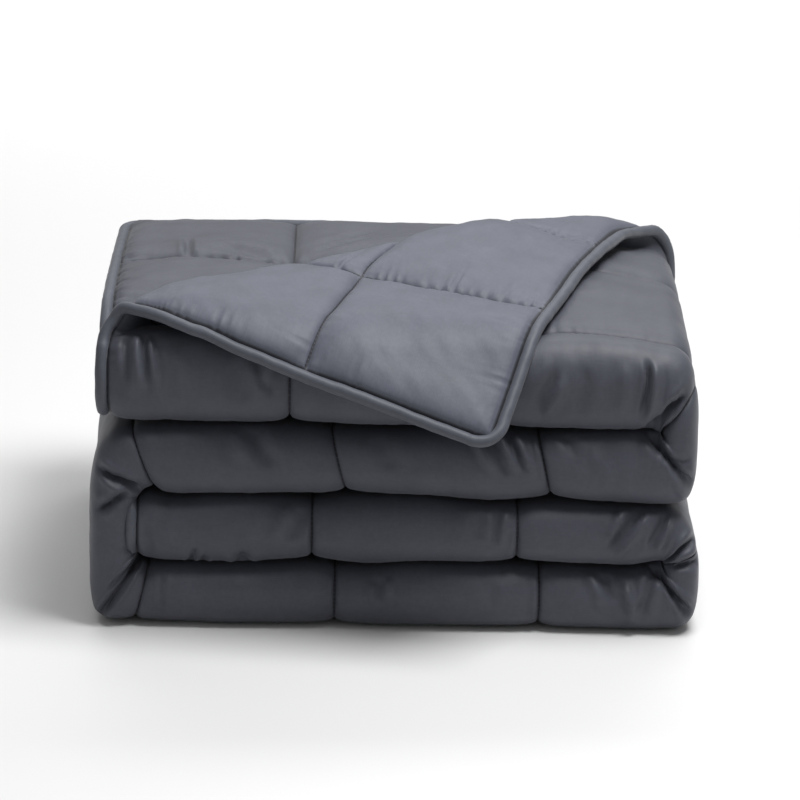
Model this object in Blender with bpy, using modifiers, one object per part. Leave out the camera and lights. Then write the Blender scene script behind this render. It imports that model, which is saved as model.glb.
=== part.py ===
"""A weighted blanket, quilted in squares, with a corded piping round its edge.

It is folded lengthwise into a strip of four leaves, with one round fold along the front, then crosswise
into a stack of four strips, and the back left corner of the top leaf is turned over towards the front.
Metres, +Z up. The front of the stack faces -Y, and the origin is under its middle, where it rests.

The sheet is laid out flat first, with a crease wherever it will bend, and thickened. Every point of it,
with its place along the sheet, across the sheet and above its middle surface, is then folded.
"""
from collections import namedtuple
from math import cos, hypot, pi, radians, sin

import bmesh
import bpy
from mathutils import Vector

# The finished sheet inside its piping, drawn in a little by the quilting.
SHEET_LENGTH = 1.800
SHEET_WIDTH = 1.254
QUILT_THICKNESS = 0.0111
CORNER_RADIUS = 0.014
PIPING_DIAMETER = 0.0081
SEAM_GAP = 0.0003
FLAP_SEAM_EASE = 0.0015
SHORTEST_PIPING_STEP = 0.0038

# The strip: four leaves, one above another, and the stack: four strips.
LEAF_PITCH = 0.0120
STRIP_HEIGHT = 4 * LEAF_PITCH
STACK_WIDTH = 0.425

# What the three lower strips of the stack settle to, from the lowest, which is pressed flattest.
SETTLED_HEIGHTS = (0.0458, 0.0481, 0.0504)

# The top strip lies loose, and is fullest at the back left, where its corner is turned off it.
TOP_FRONT_LEFT = 0.0700
TOP_FRONT_RIGHT = 0.0625
TOP_BACK_LEFT = 0.0950
TOP_BACK_RIGHT = 0.0615

# Where the strips turn back at the sides, the leaves are pulled together, and the turn is squarish.
TURN_SQUEEZE = 0.73
TURN_SQUARENESS = 4.0
WRAP_HOLLOW = 0.020

# The turned corner: where its fold meets the back edge and the left edge, measured from the corner.
CORNER_FOLD_ALONG = 0.396
CORNER_FOLD_ACROSS = 0.290
CORNER_FOLD_RADIUS = 0.0085
CORNER_HANG_ANGLE = radians(72)

# How finely the bends and the loose leaves are creased, and the smallest differences that count.
CORNER_CREASES = 4
LEAF_CREASES = 3
TOP_STRIP_CREASES = 4
CREASE_TOLERANCE = 1e-7
TINY = 1e-9

LEAF_LENGTH = (SHEET_WIDTH - 2.5 * pi * LEAF_PITCH) / 4
FRONT_RADIUS = 1.5 * LEAF_PITCH
INNER_RADIUS = 0.5 * LEAF_PITCH
FRONT_Y = -LEAF_LENGTH / 2
BACK_Y = LEAF_LENGTH / 2
SIDE_X = STACK_WIDTH / 2
RIGHT_AXIS = SIDE_X - TURN_SQUEEZE * STRIP_HEIGHT
LEFT_AXIS = -SIDE_X + WRAP_HOLLOW + TURN_SQUEEZE * STRIP_HEIGHT
TOP_STRIP_END = -0.201

# Folding across the sheet. Columns: kind of stretch; its length across the sheet; radius of its middle
# surface (0 where it is flat); height of its middle, or of its bend's axis, in leaf pitches; which way the
# sheet's outer face looks there (1 up or outwards, -1 down or inwards); its creases.
Stretch = namedtuple("Stretch", "kind length radius level outward creases")
STRETCHES = (
    Stretch("to_front", LEAF_LENGTH, 0, 3.5, 1, LEAF_CREASES),
    Stretch("front_bend", pi * FRONT_RADIUS, FRONT_RADIUS, 2.0, 1, 8),
    Stretch("to_back", LEAF_LENGTH, 0, 0.5, -1, LEAF_CREASES),
    Stretch("back_bend", pi * INNER_RADIUS, INNER_RADIUS, 1.0, 1, 5),
    Stretch("to_front", LEAF_LENGTH, 0, 1.5, 1, LEAF_CREASES),
    Stretch("inner_bend", pi * INNER_RADIUS, INNER_RADIUS, 2.0, -1, 5),
    Stretch("to_back", LEAF_LENGTH, 0, 2.5, -1, LEAF_CREASES),
)

# Folding along the sheet. Columns: name; length along the sheet; x where a strip starts, or of a turn's
# axis; the way it runs or bulges (1 right, -1 left); height of the side of the strip away from leaf one, or
# of the turn's axis, in strips; whether the strip lies above that side (1) or below it (-1), or whether the
# turn starts at its top (1) or its bottom (-1); for a turn, its outer radius in strips, whether leaf one is
# on its outside (1) or its inside (-1), and how far its innermost cloth stands out; its creases.
Run = namedtuple("Run", "name length x way level side outer leaf_one hollow creases")
TURN_LENGTH = 0.118
WRAP_LENGTH = 0.175
RUNS = (
    Run("strip_a", RIGHT_AXIS - TOP_STRIP_END, TOP_STRIP_END, 1, 3.0, 1, 0, 0, 0, TOP_STRIP_CREASES),
    Run("turn_ab", TURN_LENGTH, RIGHT_AXIS, 1, 3.0, 1, 1.0, 1, 0, 8),
    Run("strip_b", RIGHT_AXIS - LEFT_AXIS, RIGHT_AXIS, -1, 3.0, -1, 0, 0, 0, 1),
    Run("wrap_bd", WRAP_LENGTH, LEFT_AXIS, -1, 1.5, 1, 1.5, -1, WRAP_HOLLOW, 8),
    Run("strip_d", RIGHT_AXIS - LEFT_AXIS, LEFT_AXIS, 1, 0.0, 1, 0, 0, 0, 1),
    Run("turn_dc", TURN_LENGTH, RIGHT_AXIS, 1, 1.0, -1, 1.0, -1, 0, 8),
    Run("strip_c", SHEET_LENGTH, RIGHT_AXIS, -1, 2.0, -1, 0, 0, 0, 1),
)


def with_starts(parts):
    """Each part with its start, its distance from the first part's start."""
    start = 0.0
    placed = []
    for part in parts:
        placed.append((start, part))
        start += part.length
    return placed


ACROSS = with_starts(STRETCHES)
ALONG = with_starts(RUNS)


def part_at(placed, distance):
    """The part that a distance falls in, and how far into it. The end parts run on past their ends."""
    for start, part in reversed(placed):
        if distance >= start - TINY:
            return part, distance - start
    return placed[0][1], distance


# The corner's fold, as a direction towards the corner and a distance from it where the bend starts.
FOLD_SPAN = hypot(1 / CORNER_FOLD_ALONG, 1 / CORNER_FOLD_ACROSS)
TO_CORNER = Vector((-1 / CORNER_FOLD_ALONG, -1 / CORNER_FOLD_ACROSS)) / FOLD_SPAN
FOLD_ARC = pi * CORNER_FOLD_RADIUS
FOLD_START = -1 / FOLD_SPAN - FOLD_ARC / 2
FLAP_LIFT = 2 * CORNER_FOLD_RADIUS
HANG_ARC = (FRONT_RADIUS + FLAP_LIFT) * CORNER_HANG_ANGLE


def past_fold(along, across):
    """How far a point of the flat sheet is past the start of the corner's fold."""
    return Vector((along, across)).dot(TO_CORNER) - FOLD_START


def turn_corner(along, across, height):
    """Turn the corner over: where a point lies above leaf one, and how far its middle is lifted."""
    past = past_fold(along, across)
    if past <= 0:
        return along, across, height, 0.0
    if past < FOLD_ARC:
        angle = past / CORNER_FOLD_RADIUS
        forward = (CORNER_FOLD_RADIUS - height) * sin(angle)
        raised = CORNER_FOLD_RADIUS - (CORNER_FOLD_RADIUS - height) * cos(angle)
        lift = CORNER_FOLD_RADIUS * (1 - cos(angle))
    else:
        forward = FOLD_ARC - past
        raised = FLAP_LIFT - height
        lift = FLAP_LIFT
    place = Vector((along, across)) + TO_CORNER * (forward - past)
    return place.x, place.y, raised, lift


def fold_across(across, height, lift):
    """Fold the sheet's width into four leaves: y, and the height in the strip. The turned corner hangs
    over the front bend and then straight on."""
    if lift and across > LEAF_LENGTH:
        beyond = across - LEAF_LENGTH
        middle_radius = FRONT_RADIUS + lift
        angle = min(beyond / middle_radius, CORNER_HANG_ANGLE)
        straight = max(beyond - middle_radius * CORNER_HANG_ANGLE, 0)
        radius = FRONT_RADIUS + height
        y = FRONT_Y - radius * sin(angle) - straight * cos(angle)
        return y, 2 * LEAF_PITCH + radius * cos(angle) - straight * sin(angle)
    stretch, into = part_at(ACROSS, across)
    middle = stretch.level * LEAF_PITCH
    if stretch.kind == "to_front":
        return BACK_Y - into, middle + stretch.outward * height
    if stretch.kind == "to_back":
        return FRONT_Y + into, middle + stretch.outward * height
    radius = stretch.radius + stretch.outward * height
    angle = into / stretch.radius
    if stretch.kind == "front_bend":
        return FRONT_Y - radius * sin(angle), middle + radius * cos(angle)
    if stretch.kind == "back_bend":
        return BACK_Y + radius * sin(angle), middle - radius * cos(angle)
    return FRONT_Y - radius * sin(angle), middle - radius * cos(angle)


def fold_along(along, in_strip):
    """Fold the strip into the stack: x, and the height before the stack presses down on itself."""
    run, into = part_at(ALONG, along)
    if not run.leaf_one:
        return run.x + run.way * into, run.level * STRIP_HEIGHT + run.side * in_strip
    angle = pi / 2 - pi * min(into / run.length, 1.0)
    inner = (run.outer - 1) * STRIP_HEIGHT
    offset = inner + in_strip if run.leaf_one > 0 else run.outer * STRIP_HEIGHT - in_strip
    reach = run.hollow + TURN_SQUEEZE * (offset - inner)
    power = TURN_SQUARENESS
    square = (abs(cos(angle)) ** power + abs(sin(angle)) ** power) ** (-1 / power)
    x = run.x + run.way * reach * square * cos(angle)
    return x, run.level * STRIP_HEIGHT + run.side * offset * square * sin(angle)


def top_strip_height(x, y):
    """How high the loose top strip stands at a place in the stack."""
    to_right = (x + SIDE_X) / STACK_WIDTH
    to_back = (y - FRONT_Y) / LEAF_LENGTH
    front = TOP_FRONT_LEFT + (TOP_FRONT_RIGHT - TOP_FRONT_LEFT) * to_right
    back = TOP_BACK_LEFT + (TOP_BACK_RIGHT - TOP_BACK_LEFT) * to_right
    return front + (back - front) * to_back


def settled(x, y, height):
    """A height in the stack once the strips have settled under their own weight."""
    heights = (*SETTLED_HEIGHTS, top_strip_height(x, y))
    strips_below = min(max(int(height / STRIP_HEIGHT), 0), len(heights) - 1)
    into_strip = height - strips_below * STRIP_HEIGHT
    pressed = min(into_strip, STRIP_HEIGHT) * heights[strips_below] / STRIP_HEIGHT
    above_stack = max(into_strip - STRIP_HEIGHT, 0)
    return sum(heights[:strips_below]) + pressed + above_stack


def fold(along, across, height):
    """A point of the flat sheet in the folded stack."""
    along, across, height, lift = turn_corner(along, across, height)
    y, in_strip = fold_across(across, height, lift)
    x, z = fold_along(along, in_strip)
    return Vector((x, y, settled(x, y, z)))


# A crease line of the flat sheet: its points have normal . (along, across) = distance. Those of the flap
# only run across the part past the corner's fold.
Crease = namedtuple("Crease", "normal distance in_flap")


def creases():
    """Every line along which the flat sheet is bent, in the order in which they are cut."""
    lines = []
    for start, run in ALONG:
        for step in range(run.creases):
            lines.append(Crease(Vector((1, 0)), start + run.length * step / run.creases, False))
    for start, stretch in ACROSS:
        for step in range(stretch.creases):
            lines.append(Crease(Vector((0, 1)), start + stretch.length * step / stretch.creases, False))
    for step in range(CORNER_CREASES + 1):
        lines.append(Crease(TO_CORNER, FOLD_START + FOLD_ARC * step / CORNER_CREASES, False))
    hang_normal = Vector((0, 1)) - 2 * TO_CORNER.y * TO_CORNER
    hang_base = LEAF_LENGTH - 2 * TO_CORNER.y * (FOLD_START + FOLD_ARC / 2)
    for step in range(CORNER_CREASES + 1):
        lines.append(Crease(hang_normal, hang_base + HANG_ARC * step / CORNER_CREASES, True))
    return lines


def flat_corners(outset):
    """The four corners' arc centres, with the angle at which the edge enters each."""
    radius = CORNER_RADIUS + outset
    centres = (
        (CORNER_RADIUS, CORNER_RADIUS, pi),
        (SHEET_LENGTH - CORNER_RADIUS, CORNER_RADIUS, 1.5 * pi),
        (SHEET_LENGTH - CORNER_RADIUS, SHEET_WIDTH - CORNER_RADIUS, 0.0),
        (CORNER_RADIUS, SHEET_WIDTH - CORNER_RADIUS, 0.5 * pi),
    )
    return radius, centres


def object_of(name, data, collection, material):
    """A named object of a mesh or a curve, in its collection, with its material."""
    made = bpy.data.objects.new(name, data)
    data.materials.append(material)
    collection.objects.link(made)
    return made


def cloth(name, colour, roughness):
    """A plain fabric finish."""
    material = bpy.data.materials.new(name)
    material.use_nodes = True
    shader = material.node_tree.nodes["Principled BSDF"]
    shader.inputs["Base Color"].default_value = (*colour, 1.0)
    shader.inputs["Roughness"].default_value = roughness
    shader.inputs["Metallic"].default_value = 0.0
    return material


def cut(sheet, faces, normal, distance, clear_outer=False):
    """Crease, or trim, the flat faces along one line."""
    geometry = {*faces}
    for face in faces:
        geometry.update(face.edges)
        geometry.update(face.verts)
    normal = Vector((normal.x, normal.y, 0.0))
    bmesh.ops.bisect_plane(
        sheet,
        geom=list(geometry),
        dist=CREASE_TOLERANCE,
        plane_co=normal * distance,
        plane_no=normal,
        clear_outer=clear_outer,
    )


def flat_sheet():
    """The flat sheet with its creases and rounded corners, as a mesh."""
    sheet = bmesh.new()
    bmesh.ops.create_grid(sheet, x_segments=1, y_segments=1, size=0.5)
    bmesh.ops.translate(sheet, verts=sheet.verts, vec=(0.5, 0.5, 0.0))
    bmesh.ops.scale(sheet, verts=sheet.verts, vec=(SHEET_LENGTH, SHEET_WIDTH, 1.0))
    for line in creases():
        faces = list(sheet.faces)
        if line.in_flap:
            middles = [(face, face.calc_center_median()) for face in faces]
            faces = [face for face, middle in middles if past_fold(middle.x, middle.y) > FOLD_ARC]
        cut(sheet, faces, line.normal, line.distance)
    radius, centres = flat_corners(0.0)
    half_step = pi / 4 / CORNER_CREASES
    for centre_along, centre_across, entry in centres:
        centre = Vector((centre_along, centre_across))
        for step in range(CORNER_CREASES):
            angle = entry + half_step * (2 * step + 1)
            outwards = Vector((cos(angle), sin(angle)))
            distance = centre.dot(outwards) + radius * cos(half_step)
            cut(sheet, list(sheet.faces), outwards, distance, clear_outer=True)
    bmesh.ops.triangulate(sheet, faces=sheet.faces)
    mesh = bpy.data.meshes.new("flat_sheet")
    sheet.to_mesh(mesh)
    sheet.free()
    return mesh


def quilted_blanket(collection, material):
    """The quilted body: the flat sheet, thickened both ways from its middle, then folded."""
    flat = bpy.data.objects.new("flat_sheet", flat_sheet())
    collection.objects.link(flat)
    thicken = flat.modifiers.new("thicken", "SOLIDIFY")
    thicken.thickness = QUILT_THICKNESS
    thicken.offset = 0.0
    bpy.context.view_layer.update()
    evaluated = flat.evaluated_get(bpy.context.evaluated_depsgraph_get())
    mesh = bpy.data.meshes.new_from_object(evaluated)
    bpy.data.objects.remove(flat)
    for vertex in mesh.vertices:
        vertex.co = fold(*vertex.co)
    # Across the sheet runs towards -Y, so the fold mirrors the faces.
    mesh.flip_normals()
    return object_of("quilted_blanket", mesh, collection, material)


def eased(point, outwards):
    """A point of the piping's route, a little further out where the edge twists round the corner's fold."""
    ease = FLAP_SEAM_EASE if past_fold(*point) > -CORNER_FOLD_RADIUS else 0.0
    return point + outwards * ease


def side_points(start, end):
    """A straight side of the piping's route, with a point at each crease that it crosses."""
    outwards = Vector((end.y - start.y, start.x - end.x)).normalized()
    crossings = []
    for line in creases():
        slope = line.normal.dot(end - start)
        if abs(slope) < TINY:
            continue
        share = (line.distance - line.normal.dot(start)) / slope
        point = start.lerp(end, share)
        if not 0 < share < 1 or (line.in_flap and past_fold(*point) < FOLD_ARC):
            continue
        crossings.append(share)
    shares = [0.0, *sorted(crossings), 1.0]
    return [eased(start.lerp(end, share), outwards) for share in shares]


def piping_route():
    """The piping's closed route round the flat sheet."""
    outset = PIPING_DIAMETER / 2 + SEAM_GAP
    radius, centres = flat_corners(outset)
    arcs = []
    for centre_along, centre_across, entry in centres:
        arc = []
        for step in range(CORNER_CREASES + 1):
            angle = entry + pi / 2 * step / CORNER_CREASES
            outwards = Vector((cos(angle), sin(angle)))
            arc.append(eased(Vector((centre_along, centre_across)) + radius * outwards, outwards))
        arcs.append(arc)
    route = []
    for arc, following in zip(arcs, arcs[1:] + arcs[:1]):
        route += arc[1:-1]
        route += side_points(arc[-1], following[0])
    return route


def thinned(route):
    """The folded route without points too close together for the cord to bend between them."""
    kept = route[:1]
    for place in route[1:]:
        if (place - kept[-1]).length > SHORTEST_PIPING_STEP:
            kept.append(place)
    return kept


def edge_piping(collection, material):
    """The corded piping: one closed tube along the folded edge."""
    curve = bpy.data.curves.new("edge_piping", "CURVE")
    curve.dimensions = "3D"
    curve.bevel_depth = PIPING_DIAMETER / 2
    curve.bevel_resolution = 2
    curve.use_fill_caps = True
    route = thinned([fold(*point, 0.0) for point in piping_route()])
    spline = curve.splines.new("POLY")
    spline.points.add(len(route) - 1)
    for point, place in zip(spline.points, route):
        point.co = (*place, 1.0)
    spline.use_cyclic_u = True
    return object_of("edge_piping", curve, collection, material)


def bounds(made):
    """The lowest and highest corners of an object's evaluated mesh."""
    bpy.context.view_layer.update()
    evaluated = made.evaluated_get(bpy.context.evaluated_depsgraph_get())
    mesh = evaluated.to_mesh()
    places = [vertex.co.copy() for vertex in mesh.vertices]
    evaluated.to_mesh_clear()
    lowest = Vector([min(place[axis] for place in places) for axis in range(3)])
    highest = Vector([max(place[axis] for place in places) for axis in range(3)])
    return lowest, highest


def build():
    for existing in list(bpy.data.objects):
        bpy.data.objects.remove(existing)
    collection = bpy.data.collections.new("weighted_blanket")
    bpy.context.scene.collection.children.link(collection)
    face_cloth = cloth("slate_brushed_cotton", (0.115, 0.118, 0.142), 0.75)
    piping_cloth = cloth("slate_piping_cotton", (0.125, 0.128, 0.155), 0.7)
    pieces = (quilted_blanket(collection, face_cloth), edge_piping(collection, piping_cloth))
    boxes = [bounds(piece) for piece in pieces]
    lowest = Vector([min(box[0][axis] for box in boxes) for axis in range(3)])
    highest = Vector([max(box[1][axis] for box in boxes) for axis in range(3)])
    under_middle = Vector(((lowest.x + highest.x) / 2, (lowest.y + highest.y) / 2, lowest.z))
    for piece in pieces:
        piece.location = -under_middle


build()
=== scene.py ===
"""A folded weighted blanket: slate grey brushed cotton, quilted in squares, with a corded piping."""

import bpy
import numpy as np
from math import cos, hypot, pi, radians, sin
from mathutils import Matrix, Vector


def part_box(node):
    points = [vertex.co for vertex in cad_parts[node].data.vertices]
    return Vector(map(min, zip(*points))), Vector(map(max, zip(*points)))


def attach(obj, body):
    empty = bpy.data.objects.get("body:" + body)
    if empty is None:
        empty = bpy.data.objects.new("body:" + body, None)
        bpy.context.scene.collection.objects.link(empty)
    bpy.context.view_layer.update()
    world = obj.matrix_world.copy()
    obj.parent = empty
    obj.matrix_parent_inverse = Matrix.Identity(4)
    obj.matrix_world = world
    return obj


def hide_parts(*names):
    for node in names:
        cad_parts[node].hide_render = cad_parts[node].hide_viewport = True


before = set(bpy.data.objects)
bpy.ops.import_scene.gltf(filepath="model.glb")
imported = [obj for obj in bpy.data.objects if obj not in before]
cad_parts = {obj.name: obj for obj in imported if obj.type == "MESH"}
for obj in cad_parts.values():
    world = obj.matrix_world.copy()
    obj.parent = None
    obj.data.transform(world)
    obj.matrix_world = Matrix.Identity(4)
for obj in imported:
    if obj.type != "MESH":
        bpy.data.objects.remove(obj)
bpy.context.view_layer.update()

# The quilted blanket: two faces of brushed cotton with glass beads and wadding between, sewn through in
# squares. It is folded across into a strip of four leaves, then along into a stack of four strips, and
# the back left corner of its top leaf is turned over to the front, so that the under face shows.

# The flat sheet, in metres. Along it is measured from the top strip's free end, and across it from the
# back edge of that strip's top leaf.
SHEET_LENGTH = 1.800
SHEET_WIDTH = 1.254

# The rows of stitching, between the narrower squares along the edges.
END_SQUARE_ALONG = 0.128
SQUARE_ALONG = 0.1408
ROWS_ALONG = END_SQUARE_ALONG + SQUARE_ALONG * np.arange(12)
END_SQUARE_ACROSS = 0.133
SQUARE_ACROSS = (SHEET_WIDTH - 2 * END_SQUARE_ACROSS) / 7
ROWS_ACROSS = END_SQUARE_ACROSS + SQUARE_ACROSS * np.arange(8)

# The strip: four leaves, with a large bend at the front, a small one at the back, and a small one inside
# the large one.
LEAF_PITCH = 0.0120
STRIP_HEIGHT = 4 * LEAF_PITCH
LEAF_LENGTH = (SHEET_WIDTH - 2.5 * pi * LEAF_PITCH) / 4
FRONT_RADIUS = 1.5 * LEAF_PITCH
INNER_RADIUS = 0.5 * LEAF_PITCH
FRONT_Y = -LEAF_LENGTH / 2
BACK_Y = LEAF_LENGTH / 2
front_start, leaf_four, back_bend, leaf_three, inner_bend, leaf_two = np.cumsum(
    (LEAF_LENGTH, pi * FRONT_RADIUS, LEAF_LENGTH, pi * INNER_RADIUS, LEAF_LENGTH, pi * INNER_RADIUS)
)


def eased(value):
    """A smooth step from 0 to 1."""
    value = np.clip(value, 0, 1)
    return value * value * (3 - 2 * value)


def curved(x, places, values):
    """A smooth curve through a few given values."""
    at = np.clip(np.searchsorted(places, x) - 1, 0, len(places) - 2)
    share = eased((x - places[at]) / (places[at + 1] - places[at]))
    return values[at] * (1 - share) + values[at + 1] * share


# The turned corner: where its fold meets the back edge and the left end, and how far it is dragged left.
CORNER_FOLD_ALONG = 0.396
CORNER_FOLD_ACROSS = 0.290
CORNER_FOLD_RADIUS = 0.0080
CORNER_SLIDE = 0.0121
CORNER_SLIDE_REACH = 0.06

fold_span = hypot(1 / CORNER_FOLD_ALONG, 1 / CORNER_FOLD_ACROSS)
to_corner = np.array([-1 / CORNER_FOLD_ALONG, -1 / CORNER_FOLD_ACROSS]) / fold_span
fold_arc = pi * CORNER_FOLD_RADIUS
fold_start = -1 / fold_span - fold_arc / 2


def past_fold(along, across):
    """How far a point of the flat sheet lies past the start of the corner's fold."""
    return along * to_corner[0] + across * to_corner[1] - fold_start


def turn_corner(along, across, height):
    """The corner turned over: where a point lies above the top leaf, and how far its middle is lifted."""
    past = past_fold(along, across)
    angle = np.clip(past / CORNER_FOLD_RADIUS, 0, pi)
    round_bend = (CORNER_FOLD_RADIUS - height) * np.sin(angle)
    forward = np.where(past <= 0, past, np.where(past < fold_arc, round_bend, fold_arc - past))
    raised = CORNER_FOLD_RADIUS - (CORNER_FOLD_RADIUS - height) * np.cos(angle)
    lift = CORNER_FOLD_RADIUS * (1 - np.cos(angle))
    moved = forward - past
    slid = CORNER_SLIDE * eased(past / CORNER_SLIDE_REACH)
    return along + to_corner[0] * moved - slid, across + to_corner[1] * moved, raised, lift


# How square the front fold is, above and below its axis.
FRONT_SQUARE = (2.2, 2.7)
# How the turned corner hangs over the front, and how far behind the front bend the hanging begins.
# Columns: along, and that distance.
HANG_RADIUS = 0.052
HANG_ANGLE = radians(44.5)
HANG_START = np.array([
    (0.000, 0.0041),
    (0.060, 0.0023),
    (0.150, 0.0066),
    (0.260, 0.0181),
])


def squarish(angle, square):
    """How far a squarish bend reaches beyond a round one, with its own shape above and below its axis."""
    power = np.where(np.sin(angle) > 0, square[0], square[1])
    return (np.abs(np.cos(angle)) ** power + np.abs(np.sin(angle)) ** power) ** (-1 / power)


def fold_across(along, across, height, lift):
    """The sheet's width folded into four leaves: y, and the height in the strip."""
    y = BACK_Y - across
    level = 3.5 * LEAF_PITCH + height

    def place(where, new_y, new_level):
        y[where] = new_y[where]
        level[where] = new_level[where]

    # The front fold, round the two inner leaves, and the lowest leaf.
    angle = (across - front_start) / FRONT_RADIUS
    reach = (FRONT_RADIUS + height) * squarish(pi / 2 - angle, FRONT_SQUARE)
    bend = (across >= front_start) & (across < leaf_four)
    place(bend, FRONT_Y - reach * np.sin(angle), 2 * LEAF_PITCH + reach * np.cos(angle))
    run = (across >= leaf_four) & (across < back_bend)
    place(run, FRONT_Y + across - leaf_four, 0.5 * LEAF_PITCH - height)

    # The small bend at the back and the leaf above it, then the bend inside the front fold and its leaf.
    angle = (across - back_bend) / INNER_RADIUS
    reach = INNER_RADIUS + height
    bend = (across >= back_bend) & (across < leaf_three)
    place(bend, BACK_Y + reach * np.sin(angle), LEAF_PITCH - reach * np.cos(angle))
    run = (across >= leaf_three) & (across < inner_bend)
    place(run, BACK_Y - (across - leaf_three), 1.5 * LEAF_PITCH + height)
    angle = (across - inner_bend) / INNER_RADIUS
    reach = INNER_RADIUS - height
    bend = (across >= inner_bend) & (across < leaf_two)
    place(bend, FRONT_Y - reach * np.sin(angle), 2 * LEAF_PITCH - reach * np.cos(angle))
    place(across >= leaf_two, FRONT_Y + across - leaf_two, 2.5 * LEAF_PITCH - height)

    # The turned corner, over the front.
    hang_start = curved(along, HANG_START[:, 0], HANG_START[:, 1])
    beyond = across - (LEAF_LENGTH - hang_start)
    angle = np.clip(beyond / HANG_RADIUS, 0, HANG_ANGLE)
    straight = np.maximum(beyond - HANG_RADIUS * HANG_ANGLE, 0)
    reach = HANG_RADIUS + height - lift
    hang_y = FRONT_Y + hang_start - reach * np.sin(angle) - straight * np.cos(angle)
    hang_level = 3.5 * LEAF_PITCH + lift - HANG_RADIUS + reach * np.cos(angle) - straight * np.sin(angle)
    place((lift > 0) & (beyond > 0), hang_y, hang_level)
    return y, level


# Where the strips end and turn back, and where a row of stitching lies on each of them.
TOP_STRIP_END = -0.2010
TOP_TURN_X = 0.1800
LOW_TURN_X = 0.1845
WRAP_X = -0.1640
FOURTH_ROW_X = 0.1020
SEVENTH_ROW_X = -0.1813
ELEVENTH_ROW_X = 0.0841
top_turn = TOP_TURN_X - TOP_STRIP_END
second_strip_start = ROWS_ALONG[3] - (TOP_TURN_X - FOURTH_ROW_X)
wrap_start = second_strip_start + TOP_TURN_X - WRAP_X
bottom_strip_start = ROWS_ALONG[6] + WRAP_X - SEVENTH_ROW_X
low_turn = bottom_strip_start + LOW_TURN_X - WRAP_X
tucked_strip_start = ROWS_ALONG[10] - (LOW_TURN_X - ELEVENTH_ROW_X)

# How flat the turns are pressed, at the front and at the back, and how square they are, above and below
# their axes.
FRONT_SQUEEZE = 0.57
BACK_SQUEEZE = 0.66
TOP_TURN_SQUARE = (3.2, 4.5)
WRAP_SQUARE = (3.2, 7.0)
LOW_TURN_SQUARE = (1.9, 3.8)
# The wrap stands clear of the tucked strip's end, and is fuller than the turns.
WRAP_HOLLOW = 0.0135
WRAP_FULLER = 1.19
# The top strip's free end is drawn in, the more the further a leaf is off the strip's middle, up to
# OUTERMOST of its height. The tucked end is drawn in a little too.
END_DRAW = 0.0030
END_DRAW_REACH = 0.05
OUTER_LEAF_DRAW = 24
OUTERMOST = 0.55
TUCKED_DRAW = 0.0020
TUCKED_DRAW_START = 0.04
TUCKED_DRAW_REACH = 0.08
# The second strip is dragged a little sideways, so its stitching leans.
SECOND_STRIP_LEAN = 0.012
LEAN_START = 0.010
LEAN_REACH = 0.045


def fold_along(along, level, y):
    """The strip folded into the stack: x, and the height before the strips settle."""
    squeeze = FRONT_SQUEEZE + (BACK_SQUEEZE - FRONT_SQUEEZE) * np.clip((y - FRONT_Y) / LEAF_LENGTH, 0, 1)
    z = 3 * STRIP_HEIGHT + level
    off_middle = np.minimum(np.abs(level / STRIP_HEIGHT - 0.5), OUTERMOST)
    drawn_in = END_DRAW * (1 + OUTER_LEAF_DRAW * off_middle ** 4) * (1 - eased(along / END_DRAW_REACH))
    x = TOP_STRIP_END + along + drawn_in

    def strip(start, end, new_x, new_z):
        where = (along >= start) & (along < end)
        x[where] = new_x[where]
        z[where] = new_z[where]

    def turn(start, end, axis_x, axis_z, way, from_top, offset, inner, square):
        angle = from_top * (pi / 2 - pi * (along - start) / (end - start))
        shape = squarish(angle, square)
        hollow = WRAP_HOLLOW if inner else 0.0
        reach = hollow + squeeze * (offset - inner) * (WRAP_FULLER if inner else 1.0)
        new_x = axis_x + way * reach * shape * np.cos(angle)
        strip(start, end, new_x, axis_z + offset * shape * np.sin(angle))

    turn(top_turn, second_strip_start, TOP_TURN_X, 3 * STRIP_HEIGHT, 1, 1, level, 0.0, TOP_TURN_SQUARE)
    into = along - second_strip_start
    leaning = eased((into - LEAN_START) / LEAN_REACH)
    leaning = leaning * eased((wrap_start + LEAN_REACH - along) / LEAN_REACH)
    lean = SECOND_STRIP_LEAN * leaning * (0.5 - level / STRIP_HEIGHT)
    strip(second_strip_start, wrap_start, TOP_TURN_X - into - lean, 3 * STRIP_HEIGHT - level)
    wrapped = 1.5 * STRIP_HEIGHT - level
    turn(wrap_start, bottom_strip_start, WRAP_X, 1.5 * STRIP_HEIGHT, -1, 1,
         wrapped, 0.5 * STRIP_HEIGHT, WRAP_SQUARE)
    at_wrap = (along >= wrap_start) & (along < bottom_strip_start)
    x[at_wrap] -= lean[at_wrap]
    strip(bottom_strip_start, low_turn, WRAP_X + along - bottom_strip_start, level)
    turn(low_turn, tucked_strip_start, LOW_TURN_X, STRIP_HEIGHT, 1, -1,
         STRIP_HEIGHT - level, 0.0, LOW_TURN_SQUARE)
    tucked_in = TUCKED_DRAW * eased((along - ROWS_ALONG[11] - TUCKED_DRAW_START) / TUCKED_DRAW_REACH)
    strip(tucked_strip_start, np.inf, LOW_TURN_X - (along - tucked_strip_start) + tucked_in,
          2 * STRIP_HEIGHT - level)
    return x, z


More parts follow.
